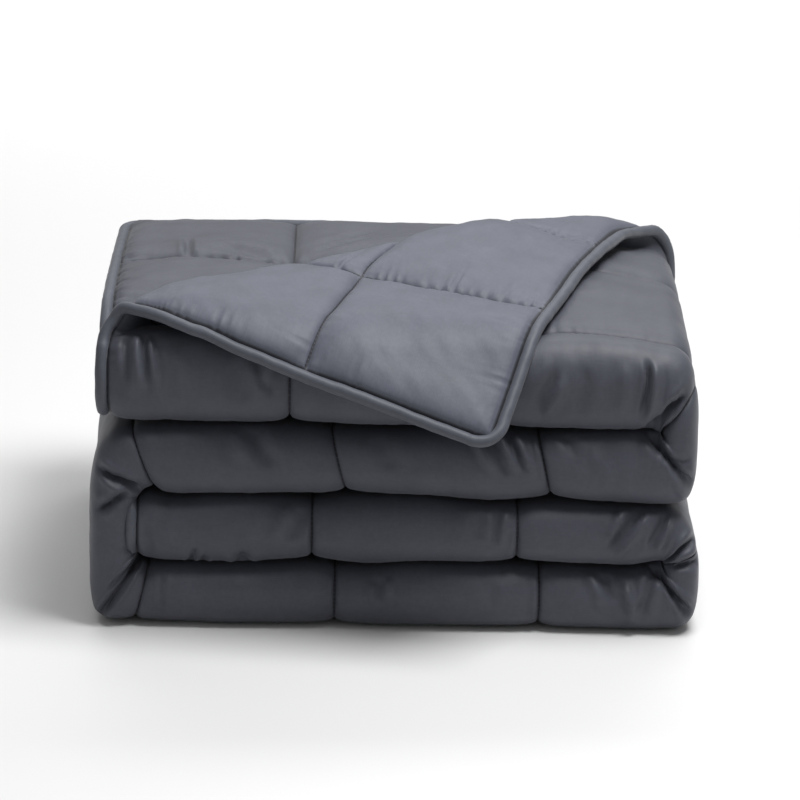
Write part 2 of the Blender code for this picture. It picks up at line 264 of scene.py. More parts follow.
# What the strips settle to, lowest first, with the rise and fall of the gaps between them from left to
# right. Columns: x, and the rise above the first, second and third strips.
SETTLED_HEIGHTS = (0.0458, 0.0481, 0.0504)
GAP_RISE = np.array([
    (-0.170, -0.0012, +0.0022, -0.0005),
    (-0.154, -0.0014, -0.0015, +0.0004),
    (-0.107, -0.0014, +0.0006, +0.0004),
    (-0.055, +0.0004, +0.0000, +0.0006),
    (-0.020, -0.0018, +0.0010, +0.0000),
    (+0.014, +0.0010, +0.0014, +0.0002),
    (+0.065, +0.0006, -0.0024, -0.0002),
    (+0.105, +0.0011, -0.0012, -0.0004),
    (+0.160, -0.0003, -0.0032, +0.0006),
    (+0.182, +0.0030, -0.0034, +0.0000),
])
# The loose top strip's height at the front, in the middle and at the back. Columns: x, then the heights.
TOP_STRIP_HEIGHT = np.array([
    (-0.200, 0.0690, 0.0690, 0.0690),
    (-0.050, 0.0625, 0.0665, 0.0700),
    (+0.060, 0.0615, 0.0740, 0.0690),
    (+0.120, 0.0640, 0.0705, 0.0660),
    (+0.200, 0.0580, 0.0610, 0.0540),
])
# Behind the corner's fold the lower leaves are free to swell, less so at the back, with air between them.
BEHIND_SWELL = 0.021
SWELL_REACH = 0.060
LESS_AT_BACK = 0.42
AIR_REACH = 0.06
AIR_SHARE = 0.12
# How much thicker than pressed the top strip's leaves are, and how much more for each metre of swell.
LOOSE_FULLNESS = 1.15
SWELL_FULLNESS = 8.0


def settle(x, y, z):
    """Heights in the stack once its strips have settled under their own weight."""
    gaps = [curved(x, GAP_RISE[:, 0], GAP_RISE[:, column]) for column in (1, 2, 3)]
    floors = [np.zeros_like(x)]
    for settled, rise in zip(np.cumsum(SETTLED_HEIGHTS), gaps):
        floors.append(settled + rise)
    to_back = (y - FRONT_Y) / LEAF_LENGTH
    front, middle, back = [
        curved(x, TOP_STRIP_HEIGHT[:, 0], TOP_STRIP_HEIGHT[:, column]) for column in (1, 2, 3)
    ]
    height = front + (middle - front) * eased(2 * to_back) + (back - middle) * eased(2 * to_back - 1)

    # The top strip, its leaves evenly spread at the front and with air between them behind.
    behind = to_corner[0] * (x - TOP_STRIP_END) - to_corner[1] * (y - FRONT_Y)
    swell = BEHIND_SWELL * eased(behind / SWELL_REACH) * (1 - LESS_AT_BACK * eased(2 * to_back - 1))
    level = np.clip(z - 3 * STRIP_HEIGHT, 0, STRIP_HEIGHT)
    stepped = sum(eased((level / LEAF_PITCH - step) / AIR_SHARE + 0.5) for step in (1, 2)) / 2
    even = level / STRIP_HEIGHT
    share = even + (stepped - even) * eased((y - FRONT_Y) / AIR_REACH)
    fullness = LOOSE_FULLNESS + SWELL_FULLNESS * swell
    in_top = fullness * level + (height + swell - fullness * STRIP_HEIGHT) * share

    settled = np.zeros_like(z)
    for number in range(3):
        share = np.clip(z / STRIP_HEIGHT - number, 0, 1)
        settled = settled + share * (floors[number + 1] - floors[number])
    above = np.maximum(z - 4 * STRIP_HEIGHT, 0)
    return settled + in_top + above + np.minimum(z, 0)


# How much more or less the turned corner is lifted. Columns: distance past its fold, and the rise. It is
# less at both ends of the fold, and less again at the one on the back edge.
CORNER_RISE = np.array([
    (0.000, +0.0048),
    (0.030, +0.0080),
    (0.050, +0.0088),
    (0.080, +0.0036),
    (0.105, +0.0006),
    (0.160, -0.0024),
])
LESS_AT_ENDS = 0.6
LESS_TO_BACK_EDGE = 0.5
BACK_EDGE_START = 0.35
BACK_EDGE_REACH = 0.3

# The stack is drawn about its own middle, as the CAD body is, and then put where that body stands.
CAD_HALF_THICKNESS = 0.00555
stack_low, stack_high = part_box("quilted_blanket")
stack_back = BACK_Y + INNER_RADIUS + CAD_HALF_THICKNESS
stack_base = (LEAF_PITCH / 2 - CAD_HALF_THICKNESS) * SETTLED_HEIGHTS[0] / STRIP_HEIGHT
to_frame = np.array([(stack_low.x + stack_high.x) / 2, stack_high.y - stack_back, -stack_base])


def fold(along, across, height):
    """Points of the flat sheet, at a height above its middle surface, in the folded stack."""
    rise = curved(past_fold(along, across), CORNER_RISE[:, 0], CORNER_RISE[:, 1])
    to_back_edge = along / CORNER_FOLD_ALONG - across / CORNER_FOLD_ACROSS
    rise = rise * (1 - LESS_AT_ENDS * np.clip(to_back_edge, -1, 1) ** 4)
    rise = rise * (1 - LESS_TO_BACK_EDGE * eased((to_back_edge - BACK_EDGE_START) / BACK_EDGE_REACH))
    along, across, raised, lift = turn_corner(along, across, height)
    y, level = fold_across(along, across, raised, lift)
    x, z = fold_along(along, level, y)
    stack_top = np.full_like(z, 4 * STRIP_HEIGHT)
    turned_over = eased(lift / (2 * CORNER_FOLD_RADIUS))
    loose = settle(x, y, stack_top) + z - stack_top + rise
    z = settle(x, y, z) * (1 - turned_over) + loose * turned_over
    return np.stack([x, y, z], -1) + to_frame


# Where the thread draws the cloth into many small puckers. Columns: the face (1 upper, -1 under), whether
# the row of stitching lies at one "along" or one "across", its place, the side of it that puckers, where
# the puckers start and end on it, and how deep they are.
GATHERS = (
    (-1, "along", ROWS_ALONG[0], +1, -0.010, 0.230, 0.0046),
    (-1, "along", ROWS_ALONG[0], -1, -0.010, 0.200, 0.0008),
    (-1, "along", ROWS_ALONG[1], +1, -0.010, 0.120, 0.0042),
    (-1, "along", ROWS_ALONG[1], -1, -0.010, 0.100, 0.0010),
    (-1, "across", ROWS_ACROSS[0], +1, -0.010, 0.230, 0.0011),
    (-1, "across", ROWS_ACROSS[0], -1, -0.010, 0.230, 0.0009),
    (-1, "along", 0.0, +1, 0.170, 0.300, 0.0036),
    (-1, "along", 0.0, +1, 0.960, 1.260, 0.0050),
    (-1, "across", ROWS_ACROSS[7], +1, 0.000, 0.150, 0.0020),
    (-1, "across", ROWS_ACROSS[7], -1, 0.000, 0.150, 0.0012),
    (-1, "along", 0.0, +1, -0.010, 0.170, 0.0020),
    (-1, "across", 0.0, +1, -0.010, 0.300, 0.0018),
    (+1, "along", 0.0, +1, -0.010, 0.270, 0.0028),
    (+1, "along", 0.0, +1, 0.270, 0.360, 0.0012),
    (+1, "across", ROWS_ACROSS[0], -1, 0.000, 0.150, 0.0016),
    (+1, "across", ROWS_ACROSS[1], -1, 0.260, 0.390, 0.0008),
    (+1, "across", ROWS_ACROSS[1], +1, 0.260, 0.390, 0.0010),
)
# How far apart they are, closer along the piping, their length for that, their steepness, how far the
# cloth stands out between them, how soon they begin beside the thread, and how soon a row of them ends.
GATHER_SPACING = 0.0085
PIPING_GATHER_SPACING = 0.0062
GATHER_LENGTH = 1.45
GATHER_STEEPNESS = 2.2
GATHER_STAND = 0.25
GATHER_START = 0.0016
GATHER_END = 0.02
# Their lean, wander and crowding, each with the length over which it changes.
GATHER_LEAN, LEAN_WAVE = 0.10, 0.021
GATHER_WANDER, WANDER_WAVE = 0.0025, 0.0095
GATHER_CROWDING, CROWDING_WAVE = 1.6, 0.0173
# Their share of the full depth: its middle, its variation, its least and its most. It changes over a
# length, and each row of them takes its own line through the same kind of uneven field.
GATHER_SHARE = (0.62, 0.75, 0.05, 1.5)
SHARE_WAVE = 0.021
FIELD_LINE_PITCH = 0.37
# An uneven field is a sum of this many waves, from shorter to longer than its bumps, brought down to
# about 1.
FIELD_WAVES = 7
FIELD_LENGTHS = (0.8, 1.9)
FIELD_HEIGHT = 3.2


def soft_noise(a, b, size, seed):
    """A smooth uneven field, about -1 to 1, whose bumps are about this size."""
    random = np.random.RandomState(seed)
    total = np.zeros(np.broadcast(a, b).shape)
    for _ in range(FIELD_WAVES):
        heading = random.uniform(0, 2 * pi)
        length = size * random.uniform(*FIELD_LENGTHS)
        phase = random.uniform(0, 2 * pi)
        total += np.sin(2 * pi * (a * cos(heading) + b * sin(heading)) / length + phase)
    return total / FIELD_HEIGHT


def gathers(along, across, face):
    """The small puckers beside the rows of stitching, uneven in their spacing, length and depth."""
    total = np.zeros_like(along)
    usual, variation, least, most = GATHER_SHARE
    for number, (on_face, direction, place, side, start, end, depth) in enumerate(GATHERS):
        if on_face != face:
            continue
        spacing = GATHER_SPACING if place else PIPING_GATHER_SPACING
        away, run = (along, across) if direction == "along" else (across, along)
        away = (away - place) * side
        wander = run + GATHER_LEAN * away * np.sin(run / LEAN_WAVE + number)
        wander = wander + GATHER_WANDER * np.sin(run / WANDER_WAVE + number)
        phase = 2 * pi * wander / spacing + GATHER_CROWDING * np.sin(run / CROWDING_WAVE + 2 * number)
        crease = np.exp(-GATHER_STEEPNESS * (1 - np.cos(phase)))
        bumps = soft_noise(run, np.full_like(run, FIELD_LINE_PITCH * number), SHARE_WAVE, number)
        uneven = np.clip(usual + variation * bumps, least, most)
        beside = np.maximum(away, 0)
        reach = np.exp(-beside / (GATHER_LENGTH * spacing * uneven))
        reach = reach * (1 - np.exp(-beside / GATHER_START))
        ends = eased((run - start) / GATHER_END) * eased((end - run) / GATHER_END)
        total -= depth * uneven * reach * ends * (crease - GATHER_STAND)
    return total


# Creases in the outer face, each a soft trough with slightly raised sides, or a ridge where its depth is
# below zero. Columns: where it starts and ends (along, across), its bow to one side, depth, half width.
CREASES = (
    # The top strip's front: the pinch at its right, folds beside it, and light streaks at its left end.
    (0.3700, 0.3030, 0.3655, 0.3290, +0.0020, 0.0049, 0.0018),
    (0.3760, 0.3030, 0.3715, 0.3270, +0.0020, -0.0027, 0.0030),
    (0.3560, 0.3060, 0.3500, 0.3280, +0.0010, -0.0017, 0.0040),
    (0.3160, 0.3120, 0.2990, 0.3290, 0.0, -0.0024, 0.0030),
    (0.3100, 0.3090, 0.2930, 0.3270, 0.0, 0.0022, 0.0030),
    (0.3300, 0.3080, 0.3200, 0.3260, 0.0, 0.0017, 0.0050),
    (0.0120, 0.2980, 0.0165, 0.3190, 0.0010, 0.0032, 0.0028),
    (0.0190, 0.2980, 0.0230, 0.3260, 0.0010, -0.0030, 0.0060),
    (0.0262, 0.2980, 0.0305, 0.3190, 0.0, 0.0024, 0.0024),
    (0.0300, 0.2990, 0.0390, 0.3240, 0.0, -0.0024, 0.0022),
    (0.0520, 0.3020, 0.0560, 0.3300, 0.0, -0.0012, 0.0060),
    (0.1040, 0.3050, 0.1115, 0.3210, 0.0, 0.0027, 0.0024),
    (0.1145, 0.3100, 0.1140, 0.3230, 0.0, 0.0020, 0.0022),
    (0.0880, 0.3080, 0.1020, 0.3260, 0.0, 0.0017, 0.0060),
    (0.2100, 0.3100, 0.2180, 0.3300, 0.0, 0.0012, 0.0060),
    # The second strip, its drag lines and the creases on its wrap round the left end.
    (0.5960, 0.3380, 0.5850, 0.3180, 0.0, -0.0024, 0.0028),
    (0.5880, 0.3390, 0.5760, 0.3150, 0.0, 0.0022, 0.0030),
    (0.5800, 0.3400, 0.5690, 0.3180, 0.0, -0.0027, 0.0026),
    (0.5730, 0.3400, 0.5630, 0.3160, 0.0, 0.0022, 0.0026),
    (0.5670, 0.3400, 0.5590, 0.3180, 0.0, -0.0022, 0.0024),
    (0.5330, 0.3400, 0.5270, 0.3240, 0.0, 0.0017, 0.0036),
    (0.5180, 0.3300, 0.5050, 0.3120, 0.0, -0.0015, 0.0040),
    (0.7480, 0.3400, 0.7350, 0.3170, 0.0, 0.0024, 0.0050),
    (0.7590, 0.3380, 0.7560, 0.3200, 0.0, -0.0015, 0.0050),
    (0.6600, 0.3360, 0.6540, 0.3160, 0.0, 0.0012, 0.0060),
    (0.8800, 0.3290, 0.8560, 0.3040, 0.0, -0.0017, 0.0030),
    (0.9440, 0.2920, 0.9400, 0.3260, -0.0010, 0.0037, 0.0018),
    (0.9330, 0.2960, 0.9300, 0.3220, 0.0, -0.0015, 0.0040),
    # The bottom strip, and the right end where it turns up into the tucked one.
    (0.9947, 0.3000, 0.9947, 0.3260, 0.0, 0.0020, 0.0016),
    (1.1400, 0.3060, 1.1394, 0.3200, 0.0, -0.0020, 0.0028),
    (1.1515, 0.3040, 1.1480, 0.3190, 0.0, -0.0020, 0.0028),
    (1.1450, 0.3040, 1.1440, 0.3180, 0.0, 0.0015, 0.0028),
    (1.2220, 0.3060, 1.2200, 0.3220, 0.0, 0.0012, 0.0040),
    (1.2870, 0.2990, 1.2990, 0.3200, 0.0, -0.0029, 0.0028),
    (1.2960, 0.2990, 1.3090, 0.3190, 0.0, 0.0034, 0.0026),
    (1.3120, 0.3050, 1.3215, 0.3300, 0.0, -0.0037, 0.0028),
    (1.3060, 0.3010, 1.3160, 0.3240, 0.0, 0.0020, 0.0026),
    (1.3330, 0.2990, 1.3240, 0.3260, 0.0, 0.0027, 0.0030),
    # Slack drawn up against the left side of some rows of stitching.
    (0.5534, 0.3400, 0.5534, 0.3080, 0.0, -0.0020, 0.0014),
    (1.5390, 0.3340, 1.5390, 0.2960, 0.0, -0.0017, 0.0014),
    (1.6798, 0.3320, 1.6798, 0.2960, 0.0, -0.0016, 0.0014),
    (1.2514, 0.2980, 1.2514, 0.3340, 0.0, -0.0020, 0.0014),
    (1.1106, 0.2980, 1.1106, 0.3300, 0.0, -0.0016, 0.0014),
    # The tucked strip.
    (1.4420, 0.3370, 1.4700, 0.3080, 0.0, -0.0034, 0.0028),
    (1.4500, 0.3390, 1.4760, 0.3110, 0.0, 0.0029, 0.0028),
    (1.4270, 0.3350, 1.4420, 0.3110, 0.0, -0.0027, 0.0026),
    (1.4330, 0.3360, 1.4480, 0.3110, 0.0, 0.0024, 0.0026),
    (1.4600, 0.3390, 1.4760, 0.3180, 0.0, -0.0020, 0.0026),
    (1.5430, 0.3370, 1.5490, 0.3130, 0.0, -0.0020, 0.0026),
    (1.5480, 0.3360, 1.5530, 0.3130, 0.0, 0.0024, 0.0026),
    (1.5600, 0.3340, 1.5650, 0.3180, 0.0, 0.0012, 0.0040),
    (1.6920, 0.3360, 1.7030, 0.3120, 0.0, -0.0022, 0.0040),
    (1.6830, 0.3340, 1.6930, 0.3140, 0.0, 0.0015, 0.0040),
    (1.7240, 0.2960, 1.7239, 0.3100, 0.0, 0.0039, 0.0040),
    (1.7620, 0.2960, 1.7560, 0.3120, 0.0, 0.0041, 0.0020),
    (1.7540, 0.2960, 1.7500, 0.3080, 0.0, 0.0024, 0.0024),
    (1.7940, 0.3280, 1.7880, 0.2990, 0.0, 0.0022, 0.0026),
    (1.7800, 0.3260, 1.7770, 0.3040, 0.0, -0.0012, 0.0040),
)
# Creases in the under face, where the lowest leaf of the top strip lies bare at the back left.
UNDER_CREASES = (
    (0.0500, 1.1700, 0.0530, 1.1180, 0.0, 0.0038, 0.0024),
    (0.0700, 1.1440, 0.1120, 1.1260, -0.0040, 0.0026, 0.0075),
    (0.1400, 1.1380, 0.1960, 1.1880, -0.0030, 0.0026, 0.0030),
    (0.1380, 1.1560, 0.1900, 1.2100, -0.0030, 0.0014, 0.0040),
)
# The raised sides: how high for the crease's depth, and how far out for its half width. A crease fades
# over this share of its length at each end, and shows no further out than the margin.
CREASE_SIDE = 0.32
CREASE_SIDE_OUT = 2.1
CREASE_FADE = 0.3
CREASE_MARGIN = 0.02


def creased(along, across, face):
    """The depth of the creases in a face at each place."""
    total = np.zeros_like(along)
    low, high = along.min() - CREASE_MARGIN, along.max() + CREASE_MARGIN
    creases = CREASES if face > 0 else UNDER_CREASES
    for start_along, start_across, end_along, end_across, bow, depth, width in creases:
        if max(start_along, end_along) < low or min(start_along, end_along) > high:
            continue
        run_along, run_across = end_along - start_along, end_across - start_across
        length = hypot(run_along, run_across)
        done = ((along - start_along) * run_along + (across - start_across) * run_across) / length ** 2
        aside = ((along - start_along) * run_across - (across - start_across) * run_along) / length
        aside = np.abs(aside - bow * 4 * done * (1 - done)) / width
        fade = eased(done / CREASE_FADE) * eased((1 - done) / CREASE_FADE)
        trough = np.exp(-aside ** 2) - CREASE_SIDE * np.exp(-(aside - CREASE_SIDE_OUT) ** 2)
        total += depth * fade * trough
    return total


# The sharp tucks at the ends, where the front rolls are drawn round into the turns. Each has its depth,
# its width at its first and last point, and the points (along, across) that it runs through.
TUCKS = (
    # The right end, above and below the pinch between the top and the second strip.
    (0.0100, 0.0024, 0.0016, (
        (0.3715, 0.3385), (0.3780, 0.3315), (0.3900, 0.3256), (0.4010, 0.3200), (0.4060, 0.3100),
    )),
    (0.0100, 0.0026, 0.0018, (
        (0.4815, 0.3400), (0.4725, 0.3325), (0.4570, 0.3280),
        (0.4500, 0.3190), (0.4470, 0.3080), (0.4460, 0.2980),
    )),
    (0.0044, 0.0018, 0.0022, ((0.4655, 0.3300), (0.4530, 0.3280), (0.4440, 0.3200), (0.4375, 0.3070))),
    # The left end: the wrap's two tucks above the tucked strip's end, and the mitre at the floor.
    (0.0080, 0.0013, 0.0024, ((0.8690, 0.3325), (0.8653, 0.3212), (0.8581, 0.3108), (0.8474, 0.3020))),
    (0.0060, 0.0016, 0.0016, ((0.8905, 0.3290), (0.8832, 0.3197), (0.8740, 0.3125), (0.8620, 0.3080))),
    (0.0110, 0.0030, 0.0014, (
        (0.9500, 0.2900), (0.9480, 0.3010), (0.9477, 0.3150), (0.9482, 0.3280), (0.9490, 0.3370),
    )),
    (0.0026, 0.0016, 0.0016, ((0.9440, 0.3000), (0.9425, 0.3120), (0.9425, 0.3220))),
    # The right end again, above and below the pinch between the bottom and the tucked strip.
    (0.0100, 0.0024, 0.0017, (
        (1.3300, 0.2950), (1.3364, 0.3020), (1.3520, 0.3075),
        (1.3610, 0.3140), (1.3640, 0.3240), (1.3655, 0.3340),
    )),
    (0.0050, 0.0016, 0.0016, ((1.3480, 0.3080), (1.3585, 0.3160), (1.3610, 0.3260), (1.3640, 0.3330))),
    (0.0090, 0.0022, 0.0016, (
        (1.4180, 0.3000), (1.4100, 0.3110), (1.4085, 0.3200), (1.4050, 0.3310), (1.4020, 0.3400),
    )),
    (0.0060, 0.0018, 0.0018, ((1.3916, 0.3100), (1.3916, 0.3240), (1.3892, 0.3380))),
)
# The raised sides of a tuck, as for the creases, and how wide they are.
TUCK_SIDE = 0.22
TUCK_SIDE_OUT = 3.2
TUCK_SIDE_WIDTH = 2.5
# The shares of its length over which a tuck begins and ends. It reaches a little past both.
TUCK_BEGIN = 0.20
TUCK_END = 0.25
TUCK_PAST = 0.05


def tucked(along, across):
    """The depth of the sharp tucks in the outer face at each place."""
    total = np.zeros_like(along)
    low, high = along.min() - CREASE_MARGIN, along.max() + CREASE_MARGIN
    for depth, first_width, last_width, points in TUCKS:
        points = np.array(points)
        if points[:, 0].max() < low or points[:, 0].min() > high:
            continue
        steps = np.diff(points, axis=0)
        lengths = np.hypot(*steps.T)
        starts = np.cumsum(lengths) - lengths
        away, run = np.full_like(along, np.inf), np.zeros_like(along)
        for point, step, length, start in zip(points, steps, lengths, starts):
            from_along, from_across = along - point[0], across - point[1]
            share = np.clip((from_along * step[0] + from_across * step[1]) / length ** 2, 0, 1)
            distance = np.hypot(from_along - share * step[0], from_across - share * step[1])
            run = np.where(distance < away, start + share * length, run)
            away = np.minimum(away, distance)
        done = run / lengths.sum()
        aside = away / (first_width + (last_width - first_width) * done)
        fade = eased((done + TUCK_PAST) / TUCK_BEGIN) * eased((1 + TUCK_PAST - done) / TUCK_END)
        sides = TUCK_SIDE * np.exp(-(aside - TUCK_SIDE_OUT) ** 2 / TUCK_SIDE_WIDTH)
        total += depth * fade * (np.exp(-aside) - sides)
    return total


# The filling: how far each face stands off the quilt's middle at the stitching, where it is pressed
# between leaves, and where it lies free on top or in front.
STITCHED_HALF = 0.0007
PRESSED_HALF = 0.0056
FREE_HALF = 0.0088
# A square rises from its stitching in three steps, each with its reach and its share: out of the thread's
# groove, over the puff beside it, and up to its crown. The sheet's very edge is flat in the seam.
GROOVE_REACH, GROOVE_SHARE = 0.0015, 0.32
PUFF_REACH, PUFF_SHARE = 0.0085, 0.52
CROWN_REACH, CROWN_SHARE = 0.07, 0.16
EDGE_GROOVE = 0.0015
# How soon the filling is free beside the corner's fold and on the flap, at the foot of the front roll,
# and on the bare lowest leaf. The turn at the right end presses it together again by this share.
FREE_REACH = 0.03
FLAP_FREE_REACH = 0.02
ROLL_FOOT = 0.01
BARE_LEAF_START = 0.03
BARE_LEAF_REACH = 0.04
TURN_PRESS = 0.65
TURN_PRESS_REACH = 0.05
# The filling's uneven bumps, large and small: how high, and how long. Free filling is less even.
BUMP_HEIGHT, FREE_BUMP_HEIGHT, BUMP_LENGTH = 0.0005, 0.0007, 0.06
SMALL_BUMP_HEIGHT, SMALL_BUMP_LENGTH = 0.0002, 0.014
UPPER_SEEDS, UNDER_SEEDS = (20, 14), (46, 40)
# The deepest tuck goes this share of the filling past the middle.
DEEPEST = 0.6


def nearest(rows, place):
    """The distance from the nearest row of stitching."""
    return np.abs(place[..., None] - rows).min(-1)


def half_thickness(along, across, face):
    """How far the upper (1) or under (-1) face of the quilt stands off its middle surface."""
    edge = np.minimum.reduce([along, SHEET_LENGTH - along, across, SHEET_WIDTH - across])
    from_edge = np.maximum(edge - EDGE_GROOVE, 0)
    rise = 1.0
    for distance in (nearest(ROWS_ALONG, along), nearest(ROWS_ACROSS, across), from_edge):
        groove = GROOVE_SHARE * (1 - np.exp(-distance / GROOVE_REACH))
        puff = PUFF_SHARE * (1 - np.exp(-distance / PUFF_REACH))
        rise = rise * (groove + puff + CROWN_SHARE * np.clip(distance / CROWN_REACH, 0, 1))
    past = past_fold(along, across)
    if face > 0:
        free = eased(-past / FREE_REACH) * eased((leaf_four - ROLL_FOOT - across) / FREE_REACH)
        free = free * (1 - TURN_PRESS * eased((along - top_turn) / TURN_PRESS_REACH))
        # Under the turned corner it is pressed again.
        before = past + fold_start + 1 / fold_span
        mirrored = np.minimum(along - 2 * before * to_corner[0], across - 2 * before * to_corner[1])
        free = free * (1 - eased(mirrored / FREE_REACH) * (before < 0))
        seed, small_seed = UPPER_SEEDS
    else:
        free = eased((past - fold_arc / 2) / FLAP_FREE_REACH)
        bare = eased((across - leaf_two - BARE_LEAF_START) / BARE_LEAF_REACH)
        free = np.maximum(free, bare * (along < second_strip_start))
        seed, small_seed = UNDER_SEEDS
    filled = PRESSED_HALF + (FREE_HALF - PRESSED_HALF) * free
    half = STITCHED_HALF + (filled - STITCHED_HALF) * rise
    bumps = BUMP_HEIGHT + FREE_BUMP_HEIGHT * free
    half = half + bumps * soft_noise(along, across, BUMP_LENGTH, seed) * rise
    half = half + SMALL_BUMP_HEIGHT * soft_noise(along, across, SMALL_BUMP_LENGTH, small_seed) * rise
    half = half + gathers(along, across, face)
    drawn_in = creased(along, across, face)
    if face > 0:
        drawn_in = drawn_in + tucked(along, across)
    return np.maximum(half - drawn_in, -DEEPEST * half)


def cloth_object(name, points, polygons, places):
    """A smooth mesh whose cloth_place layer tells where on the flat cloth each of its points lies."""
    mesh = bpy.data.meshes.new(name)
    mesh.from_pydata(points.tolist(), [], polygons.tolist())
    cloth_place = mesh.uv_layers.new(name="cloth_place")
    corners = np.empty(len(mesh.loops), np.int32)
    mesh.loops.foreach_get("vertex_index", corners)
    cloth_place.data.foreach_set("uv", places[corners].ravel())
    mesh.polygons.foreach_set("use_smooth", np.ones(len(mesh.polygons), bool))
    mesh.update()
    piece = bpy.data.objects.new(name, mesh)
    bpy.context.scene.collection.objects.link(piece)
    return piece


def quilt_piece(name, along, across):
    """A piece of the quilt, as a closed mesh of its two faces and its rim."""
    along, across = np.meshgrid(along, across, indexing="ij")
    upper = fold(along, across, half_thickness(along, across, 1))
    under = fold(along, across, -half_thickness(along, across, -1))
    points = np.concatenate([upper.reshape(-1, 3), under.reshape(-1, 3)])
    points[:, 2] = np.maximum(points[:, 2], 0)
    below = along.size
    number = np.arange(below).reshape(along.shape)
    faces = np.stack([number[:-1, :-1], number[:-1, 1:], number[1:, 1:], number[1:, :-1]], -1)
    faces = faces.reshape(-1, 4)
    rim = np.concatenate([number[0, :], number[1:, -1], number[-1, -2::-1], number[-2:0:-1, 0]])
    after = np.roll(rim, -1)
    walls = np.stack([rim, rim + below, after + below, after], -1)
    polygons = np.concatenate([faces, faces[:, ::-1] + below, walls])
    sheet = np.stack([along.ravel(), across.ravel()], -1)
    piece = cloth_object(name, points, polygons, np.concatenate([sheet, sheet]))
    # The under face takes the second material past the corner's fold, where it is turned up: a lighter
    # copy of the cotton, painted highlight.
    of_corner = np.zeros(len(piece.data.polygons), np.int32)
    of_corner[len(faces):2 * len(faces)] = past_fold(along, across).ravel()[faces[:, 0]] > 0
    piece.data.polygons.foreach_set("material_index", of_corner)
    piece.data.update()
    return piece


# How close together the positions lie in a groove of stitching, and how far others stay clear of it.
GROOVE_POSITIONS = np.array([-0.0024, -0.0011, -0.0004, 0, 0.0004, 0.0011, 0.0024])
GROOVE_CLEAR = 0.0031
GROOVE_FROM_END = 0.004
# Where the turns are creased, along the sheet, and the steps there.
CREASED_TURNS = ((0.366, 0.492), (0.845, 0.962), (1.322, 1.450))
CREASED_STEP = 0.0012


def spaced(start, end, step):
    """Even steps from start to end."""
    return np.linspace(start, end, max(2, round((end - start) / step) + 1))


def joined(*runs):
    """Several runs of positions as one."""
    return np.unique(np.round(np.concatenate(runs), 7))


def with_grooves(places, rows):
    """Positions with a few closer ones at each row of stitching, for the groove there."""
    rows = rows[(rows > places[0] + GROOVE_FROM_END) & (rows < places[-1] - GROOVE_FROM_END)]
    places = places[nearest(rows, places) > GROOVE_CLEAR] if len(rows) else places
    return joined(places, (rows[:, None] + GROOVE_POSITIONS).ravel())


def along_strip(start, end, step):
    """Positions along a strip: closer in the grooves, and where the turns are creased."""
    runs = [spaced(start, end, step)]
    for low, high in CREASED_TURNS:
        low, high = max(low, start), min(high, end)
        if high - low > step:
            runs = [run[(run <= low) | (run >= high)] for run in runs] + [spaced(low, high, CREASED_STEP)]
    return with_grooves(joined(*runs), ROWS_ALONG)


# The pieces meet in the grooves of the stitching, or out of sight, this far in between the strips.
MEET_INSIDE = 0.024
second_start, bottom_start, tucked_start = ROWS_ALONG[[3, 6, 9]]
roll_end = leaf_four + MEET_INSIDE
# The steps of each piece along it and across it, round the bends, and over the hidden leaves.
TOP_STEP, TOP_STEP_ACROSS = 0.0020, 0.0022
UNDER_STEP, UNDER_STEP_ACROSS = 0.0026, 0.0040
STRIP_STEP = 0.0025
TOP_ROLL_STEP, ROLL_STEP = 0.0014, 0.0015
BEND_STEP = 0.003
BACK_STEP, EDGE_LEAF_STEP = 0.012, 0.016
HIDDEN_STEP, INNER_STEP = 0.02, 0.03

top_along = with_grooves(spaced(0, second_start, TOP_STEP), ROWS_ALONG)
top_across = with_grooves(spaced(0, ROWS_ACROSS[1], TOP_STEP_ACROSS), ROWS_ACROSS)
top_leaf = quilt_piece("top_leaf", top_along, top_across)
roll_across = joined(
    spaced(ROWS_ACROSS[1], leaf_four, TOP_ROLL_STEP), spaced(leaf_four, roll_end, BEND_STEP),
)
top_roll = quilt_piece("top_roll", along_strip(0, second_start, TOP_STEP), roll_across)
under_along = with_grooves(spaced(0, second_start, UNDER_STEP), ROWS_ALONG)
under_across = joined(
    spaced(roll_end, back_bend, HIDDEN_STEP), spaced(back_bend, leaf_three, BEND_STEP),
    spaced(leaf_three, inner_bend, HIDDEN_STEP), spaced(inner_bend, leaf_two, BEND_STEP),
    with_grooves(spaced(leaf_two, SHEET_WIDTH, UNDER_STEP_ACROSS), ROWS_ACROSS),
)
top_leaves = quilt_piece("top_leaves", under_along, under_across)
roll_start = front_start - EDGE_LEAF_STEP
strip_across = joined(
    spaced(0, roll_start, EDGE_LEAF_STEP), spaced(roll_start, front_start, BEND_STEP),
    spaced(front_start, leaf_four, ROLL_STEP), spaced(leaf_four, roll_end, BEND_STEP),
    spaced(roll_end, back_bend, BACK_STEP), spaced(back_bend, leaf_three, BEND_STEP),
    spaced(leaf_three, inner_bend, INNER_STEP), spaced(inner_bend, leaf_two, BEND_STEP),
    spaced(leaf_two, SHEET_WIDTH, INNER_STEP),
)
second_strip, bottom_strip, tucked_strip = [
    quilt_piece(name, along_strip(start, end, STRIP_STEP), strip_across)
    for name, start, end in (
        ("second_strip", second_start, bottom_start),
        ("bottom_strip", bottom_start, tucked_start),
        ("tucked_strip", tucked_start, SHEET_LENGTH),
    )
]

# The face cloth is brushed cotton with a short nap: patches where the nap lies one way or the other, the
# nap's own mottling, and the grain of the yarns. Real yarns, about 0.2 mm wide, are too fine to show, so
# the grain is drawn coarser. Sizes in millimetres.
PATCH_MM = 26.3
NAP_MM = 3.03
GRAIN_LENGTH_MM = 11.1
GRAIN_WIDTH_MM = 0.667
PATCH_STRENGTH, NAP_STRENGTH, GRAIN_STRENGTH = 0.22, 0.14, 0.10
NAP_HEIGHT = 0.0002
NAP_BUMP = 0.35
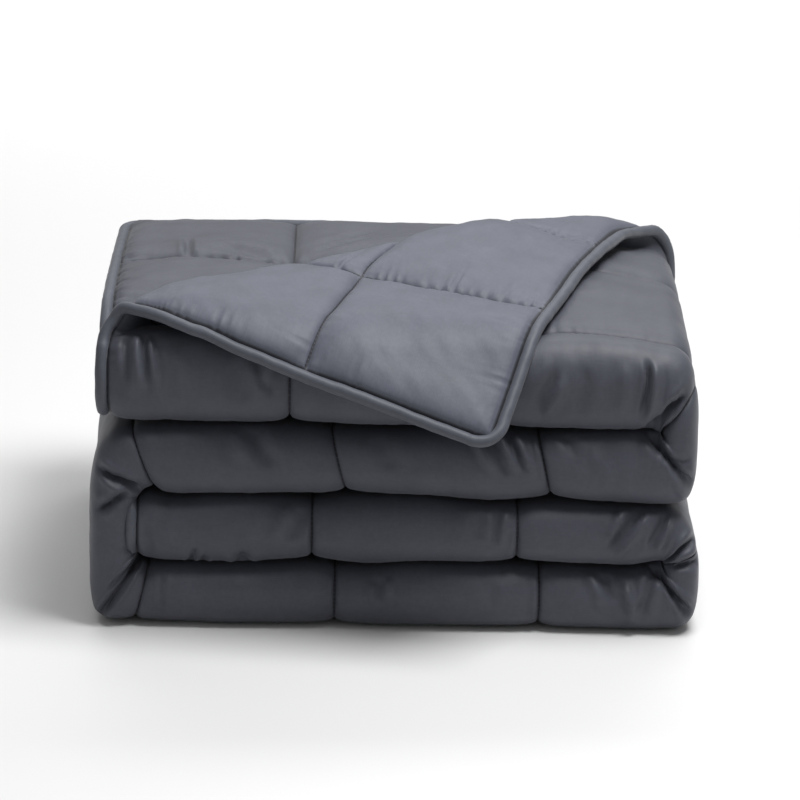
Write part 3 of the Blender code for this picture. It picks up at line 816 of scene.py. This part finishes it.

# The thread is 0.5 mm thick, and is drawn twice as wide, with a soft edge: the extra width is painted
# shade of the groove it lies in.
# It is half as dark at the holes between the stitches. The piping's seam is painted shade too: a dark
# line along the edge, where the groove beside the piping lies in shade.
THREAD_AND_SHADE_COLOUR = "24252b"
THREAD_SHADE_HALF, THREAD_SHADE_EDGE = 0.0005, 0.0010
STITCH_LENGTH = 0.0032
HOLE_HALF, HOLE_EDGE = 0.0002, 0.0005
HOLE_SHADE = 0.50
SEAM_SHADE_WIDTH, SEAM_SHADE_EDGE = 0.0022, 0.00352


def linear(hex_colour):
    """An sRGB hex colour as linear red, green and blue, with full cover."""
    parts = [int(hex_colour[i:i + 2], 16) / 255 for i in (0, 2, 4)]
    return (*(p / 12.92 if p <= 0.04045 else ((p + 0.055) / 1.055) ** 2.4 for p in parts), 1)


def add_node(material, kind, inputs, **settings):
    """Adds a node. Its inputs, by name or number, are set to a value or linked to a node or a socket."""
    made = material.node_tree.nodes.new("ShaderNode" + kind)
    for name, value in settings.items():
        setattr(made, name, value)
    for name, value in inputs.items():
        if isinstance(value, bpy.types.Node):
            value = value.outputs[0]
        if isinstance(value, bpy.types.NodeSocket):
            material.node_tree.links.new(value, made.inputs[name])
        else:
            made.inputs[name].default_value = value
    return made


# A colour mix's sockets: how much of the second colour, the first, the second, and the mixed colour.
MIX_SHARE, MIX_FIRST, MIX_SECOND, MIXED = 0, 6, 7, 2
MID_GREY = (0.5, 0.5, 0.5, 1)


def with_stitching_and_shade(material, place, colour):
    """The cloth's colour with the dark lines of its stitching, thread widened with painted groove shade,
    and the piping's seam in painted shade.
    """
    split = add_node(material, "SeparateXYZ", {"Vector": place})
    lines = []
    for axis, other, first_row, pitch, size in (
        ("X", "Y", END_SQUARE_ALONG, SQUARE_ALONG, SHEET_LENGTH),
        ("Y", "X", END_SQUARE_ACROSS, SQUARE_ACROSS, SHEET_WIDTH),
    ):
        at, beside = split.outputs[axis], split.outputs[other]
        past_row = add_node(material, "Math", {0: at, 1: first_row}, operation="SUBTRACT")
        from_row = add_node(material, "Math", {0: past_row, 1: pitch / 2}, operation="PINGPONG")
        # The thread's dark line, wider than the thread: partly thread, partly painted shade of its
        # groove.
        thread_and_shade = add_node(material, "MapRange", {
            "Value": from_row, "From Min": THREAD_SHADE_HALF, "From Max": THREAD_SHADE_EDGE, "To Min": 1, "To Max": 0,
        })
        from_hole = add_node(material, "Math", {0: beside, 1: STITCH_LENGTH / 2}, operation="PINGPONG")
        shade = add_node(material, "MapRange", {
            "Value": from_hole, "From Min": HOLE_HALF, "From Max": HOLE_EDGE, "To Min": HOLE_SHADE,
        })
        lines.append(add_node(material, "Math", {0: thread_and_shade, 1: shade}, operation="MULTIPLY"))
        # Painted shade: a dark line along the sheet's edge, where the seam beside the piping lies in
        # shade.
        from_edge = add_node(material, "Math", {0: at, 1: size / 2}, operation="PINGPONG")
        lines.append(add_node(material, "MapRange", {
            "Value": from_edge, "From Min": SEAM_SHADE_WIDTH, "From Max": SEAM_SHADE_EDGE, "To Min": 1, "To Max": 0,
        }))
    drawn = lines[0]
    for line in lines[1:]:
        drawn = add_node(material, "Math", {0: drawn, 1: line}, operation="MAXIMUM")
    mixed = add_node(material, "Mix", {
        MIX_SHARE: drawn, MIX_FIRST: colour, MIX_SECOND: linear(THREAD_AND_SHADE_COLOUR),
    }, data_type="RGBA")
    return mixed.outputs[MIXED]


def brushed_cotton(name, hex_colour, quilted):
    """Smooth brushed cotton: matt, softly mottled, with faint streaks and a slight sheen on its nap."""
    material = bpy.data.materials.new(name)
    material.use_nodes = True
    place = add_node(material, "UVMap", {}, uv_map="cloth_place")
    patches = add_node(material, "TexNoise", {
        "Vector": place, "Scale": 1000 / PATCH_MM, "Detail": 3.0, "Roughness": 0.6,
    })
    nap = add_node(material, "TexNoise", {
        "Vector": place, "Scale": 1000 / NAP_MM, "Detail": 2.0, "Roughness": 0.55,
    })
    grain_place = add_node(material, "Mapping", {
        "Vector": place, "Scale": (1000 / GRAIN_LENGTH_MM, 1000 / GRAIN_WIDTH_MM, 1),
    })
    grain = add_node(material, "TexNoise", {
        "Vector": grain_place, "Scale": 1.0, "Detail": 2.0, "Roughness": 0.6,
    })
    colour = linear(hex_colour)
    for pattern, strength in ((patches, PATCH_STRENGTH), (nap, NAP_STRENGTH), (grain, GRAIN_STRENGTH)):
        # Each pattern lightens and darkens the cloth about its own colour.
        shade = add_node(material, "Mix", {
            MIX_SHARE: strength, MIX_FIRST: MID_GREY, MIX_SECOND: pattern,
        }, data_type="RGBA")
        bright = add_node(material, "Math", {0: shade.outputs[MIXED], 1: 2}, operation="MULTIPLY")
        shaded = add_node(material, "Mix", {
            MIX_SHARE: 1, MIX_FIRST: colour, MIX_SECOND: bright,
        }, data_type="RGBA", blend_type="MULTIPLY")
        colour = shaded.outputs[MIXED]
    if quilted:
        colour = with_stitching_and_shade(material, place, colour)
    height = add_node(material, "Math", {0: nap, 1: grain}, operation="ADD")
    bump = add_node(material, "Bump", {
        "Height": height, "Strength": NAP_BUMP, "Distance": NAP_HEIGHT,
    })
    shader = material.node_tree.nodes["Principled BSDF"]
    material.node_tree.links.new(colour, shader.inputs["Base Color"])
    material.node_tree.links.new(bump.outputs["Normal"], shader.inputs["Normal"])
    shader.inputs["Roughness"].default_value = 0.55
    shader.inputs["Specular IOR Level"].default_value = 0.36
    shader.inputs["Sheen Weight"].default_value = 0.10
    shader.inputs["Sheen Roughness"].default_value = 0.45
    return material


# The turned corner takes a lighter copy of the same cotton: painted highlight for the glossy light of the
# overhead lamp on the hanging flap.
slate_brushed_cotton = brushed_cotton("slate_brushed_cotton", "464851", True)
slate_corner_cotton_painted_highlight = brushed_cotton("slate_corner_cotton_painted_highlight", "535661", True)

for piece, start, end, width, under in (
    (top_leaf, 0, second_start, ROWS_ACROSS[1], "top_leaves"),
    (top_roll, 0, second_start, roll_end - ROWS_ACROSS[1], "top_leaves"),
    (top_leaves, 0, second_start, SHEET_WIDTH - roll_end, "second_strip"),
    (second_strip, second_start, bottom_start, SHEET_WIDTH, "tucked_strip"),
    (bottom_strip, bottom_start, tucked_start, SHEET_WIDTH, "floor"),
    (tucked_strip, tucked_start, SHEET_LENGTH, SHEET_WIDTH, "bottom_strip"),
):
    piece.data.materials.append(slate_brushed_cotton)
    piece.data.materials.append(slate_corner_cotton_painted_highlight)
    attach(piece, "root")
    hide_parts("quilted_blanket")

# The piping: a cotton cord in a bias strip of the same brushed cotton, sewn into the edge all round the
# blanket. The strip has faint slanting creases, and its two ends are joined on the back edge.
PIPING_DIAMETER = 0.0081
PIPING_SEWN_IN = 0.0012
PIPING_STEP = 0.0025
PIPING_SIDES = 14
EDGE_CORNER_RADIUS = 0.014
EDGE_CORNER_STEPS = 8
# Either side of the route, a point this far off tells which way the edge faces.
FACING_OFFSET = 0.003
BIAS_CREASE, BIAS_CREASE_LENGTH, BIAS_SEED = 0.00022, 0.011, 71
BIAS_SLANT, BIAS_SPREAD = 0.004, 0.002
UNEVEN_SHARE, UNEVEN_LENGTH, UNEVEN_SEED = 0.05, 0.09, 73
# The join lies on the back edge only, so it is far off everywhere else.
JOIN_ALONG, JOIN_DEPTH, JOIN_HALF = 0.124, 0.0005, 0.0012
FAR_OFF = 10.0


def piping_route(outset):
    """The piping's route round the flat sheet: along and across."""
    radius = EDGE_CORNER_RADIUS + outset
    left, right = EDGE_CORNER_RADIUS, SHEET_LENGTH - EDGE_CORNER_RADIUS
    back, front = EDGE_CORNER_RADIUS, SHEET_WIDTH - EDGE_CORNER_RADIUS
    corners = ((left, back, pi), (right, back, 1.5 * pi), (right, front, 0), (left, front, pi / 2))
    route = []
    for along, across, entry in corners:
        for step in range(EDGE_CORNER_STEPS + 1):
            angle = entry + pi / 2 * step / EDGE_CORNER_STEPS
            route.append((along + radius * cos(angle), across + radius * sin(angle)))
    route.append(route[0])
    route = np.array(route)
    lengths = np.concatenate([[0], np.cumsum(np.hypot(*np.diff(route, axis=0).T))])
    at = np.linspace(0, lengths[-1], round(lengths[-1] / PIPING_STEP) + 1)[:-1]
    return np.interp(at, lengths, route[:, 0]), np.interp(at, lengths, route[:, 1])


route_along, route_across = piping_route(PIPING_DIAMETER / 2 - PIPING_SEWN_IN)
route = fold(route_along, route_across, np.zeros_like(route_along))
route[:, 2] = np.maximum(route[:, 2], PIPING_DIAMETER / 2)
forward = np.roll(route, -1, 0) - np.roll(route, 1, 0)
forward /= np.linalg.norm(forward, axis=1)[:, None]
facing_offset = np.full_like(route_along, FACING_OFFSET)
upward = fold(route_along, route_across, facing_offset) - fold(route_along, route_across, -facing_offset)
upward -= forward * (upward * forward).sum(1)[:, None]
upward /= np.linalg.norm(upward, axis=1)[:, None]
outward = np.cross(forward, upward)

lengths = np.concatenate([[0], np.cumsum(np.linalg.norm(np.diff(route, axis=0), axis=1))])
around = np.linspace(0, 2 * pi, PIPING_SIDES, endpoint=False)
slanted = lengths[:, None] + BIAS_SLANT * around
bias_creases = BIAS_CREASE * soft_noise(slanted, BIAS_SPREAD * around, BIAS_CREASE_LENGTH, BIAS_SEED)
from_join = np.abs(route_along - JOIN_ALONG) + FAR_OFF * (route_across > 0)
join = JOIN_DEPTH * np.exp(-(from_join[:, None] / JOIN_HALF) ** 2)
thickness_noise = soft_noise(lengths[:, None], np.zeros_like(around), UNEVEN_LENGTH, UNEVEN_SEED)
uneven = 1 + UNEVEN_SHARE * thickness_noise
radius = PIPING_DIAMETER / 2 * uneven + bias_creases - join
skin = route[:, None] + radius[..., None] * (
    outward[:, None] * np.cos(around)[None, :, None] + upward[:, None] * np.sin(around)[None, :, None]
)
skin[..., 2] = np.maximum(skin[..., 2], 0)
number = np.arange(len(route) * PIPING_SIDES).reshape(len(route), PIPING_SIDES)
after, beside = np.roll(number, -1, 0), np.roll(number, -1, 1)
girth = around * PIPING_DIAMETER / 2
piping = cloth_object(
    "corded_piping",
    skin.reshape(-1, 3),
    np.stack([number, after, np.roll(after, -1, 1), beside], -1).reshape(-1, 4),
    np.stack([np.repeat(lengths, PIPING_SIDES), np.tile(girth, len(route))], -1),
)
# Stretched over its cord, the same cotton looks a touch lighter than on the quilt.
slate_piping_cotton = brushed_cotton("slate_piping_cotton", "4d5059", False)
piping.data.materials.append(slate_piping_cotton)
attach(piping, "root")
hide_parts("edge_piping")

# The studio: a plain floor of pale paper, a soft lamp above the stack and another that lights the floor
# far behind it, and a camera at the photograph's angle.
FLOOR_REACH = 6
WORLD_LIGHT = 0.28

floor_mesh = bpy.data.meshes.new("floor")
floor_corners = [(x * FLOOR_REACH, y * FLOOR_REACH, 0) for x, y in ((-1, -1), (1, -1), (1, 1), (-1, 1))]
floor_mesh.from_pydata(floor_corners, [], [(0, 1, 2, 3)])
floor = bpy.data.objects.new("floor", floor_mesh)
bpy.context.scene.collection.objects.link(floor)
# Paper: one even, nearly white tone.
pale_paper = bpy.data.materials.new("pale_paper")
pale_paper.use_nodes = True
pale_paper.node_tree.nodes["Principled BSDF"].inputs["Base Color"].default_value = linear("e6e6e6")
floor_mesh.materials.append(pale_paper)

world = bpy.data.worlds.new("studio")
bpy.context.scene.world = world
world.use_nodes = True
world.node_tree.nodes["Background"].inputs["Color"].default_value = (1, 1, 1, 1)
world.node_tree.nodes["Background"].inputs["Strength"].default_value = WORLD_LIGHT


def softbox(name, place, target, size, power):
    """A soft rectangular lamp, which doesn't show in the picture itself."""
    lamp = bpy.data.lights.new(name, "AREA")
    lamp.shape = "RECTANGLE"
    lamp.size, lamp.size_y = size
    lamp.energy = power
    holder = bpy.data.objects.new(name, lamp)
    holder.location = place
    holder.visible_camera = False
    holder.rotation_euler = (Vector(target) - Vector(place)).to_track_quat("-Z", "Y").to_euler()
    bpy.context.scene.collection.objects.link(holder)


softbox("overhead", place=(0.36, -0.22, 1.38), target=(0, -0.02, 0.15), size=(0.60, 0.60), power=21)
softbox("behind", place=(0, 2.4, 2.4), target=(0, 3.4, 0), size=(3, 2), power=105)
bpy.context.scene.view_settings.view_transform = "Standard"

# The camera stands at this angle and distance from a point in the middle of the stack's front, which
# shows at the given pixel of the photograph. It is tilted a little.
CAMERA_AZIMUTH = radians(-0.9)
CAMERA_ELEVATION = radians(18.7)
CAMERA_ROLL = radians(1.2)
CAMERA_DISTANCE = 2.8
FOCAL_PIXELS = 4080
LOOKED_AT = Vector((0, -0.15, 0.10)) + Vector(to_frame)
SHOWN_AT = (397, 487)
PHOTO_SIZE = 800
SENSOR_WIDTH = 36

sight = Vector((
    -sin(CAMERA_AZIMUTH) * cos(CAMERA_ELEVATION),
    cos(CAMERA_AZIMUTH) * cos(CAMERA_ELEVATION),
    -sin(CAMERA_ELEVATION),
))
eye = LOOKED_AT - sight * CAMERA_DISTANCE
right = sight.cross(Vector((0, 0, 1))).normalized()
up = right.cross(sight)
off_right = (PHOTO_SIZE / 2 - SHOWN_AT[0]) / FOCAL_PIXELS
off_up = (SHOWN_AT[1] - PHOTO_SIZE / 2) / FOCAL_PIXELS
aim = (sight + right * off_right + up * off_up).to_track_quat("-Z", "Y").to_matrix().to_4x4()
camera_data = bpy.data.cameras.new("camera")
camera_data.sensor_width = SENSOR_WIDTH
camera_data.lens = FOCAL_PIXELS / PHOTO_SIZE * SENSOR_WIDTH
camera = bpy.data.objects.new("camera", camera_data)
camera.matrix_world = Matrix.Translation(eye) @ aim @ Matrix.Rotation(CAMERA_ROLL, 4, "Z")
bpy.context.scene.collection.objects.link(camera)
bpy.context.scene.camera = camera
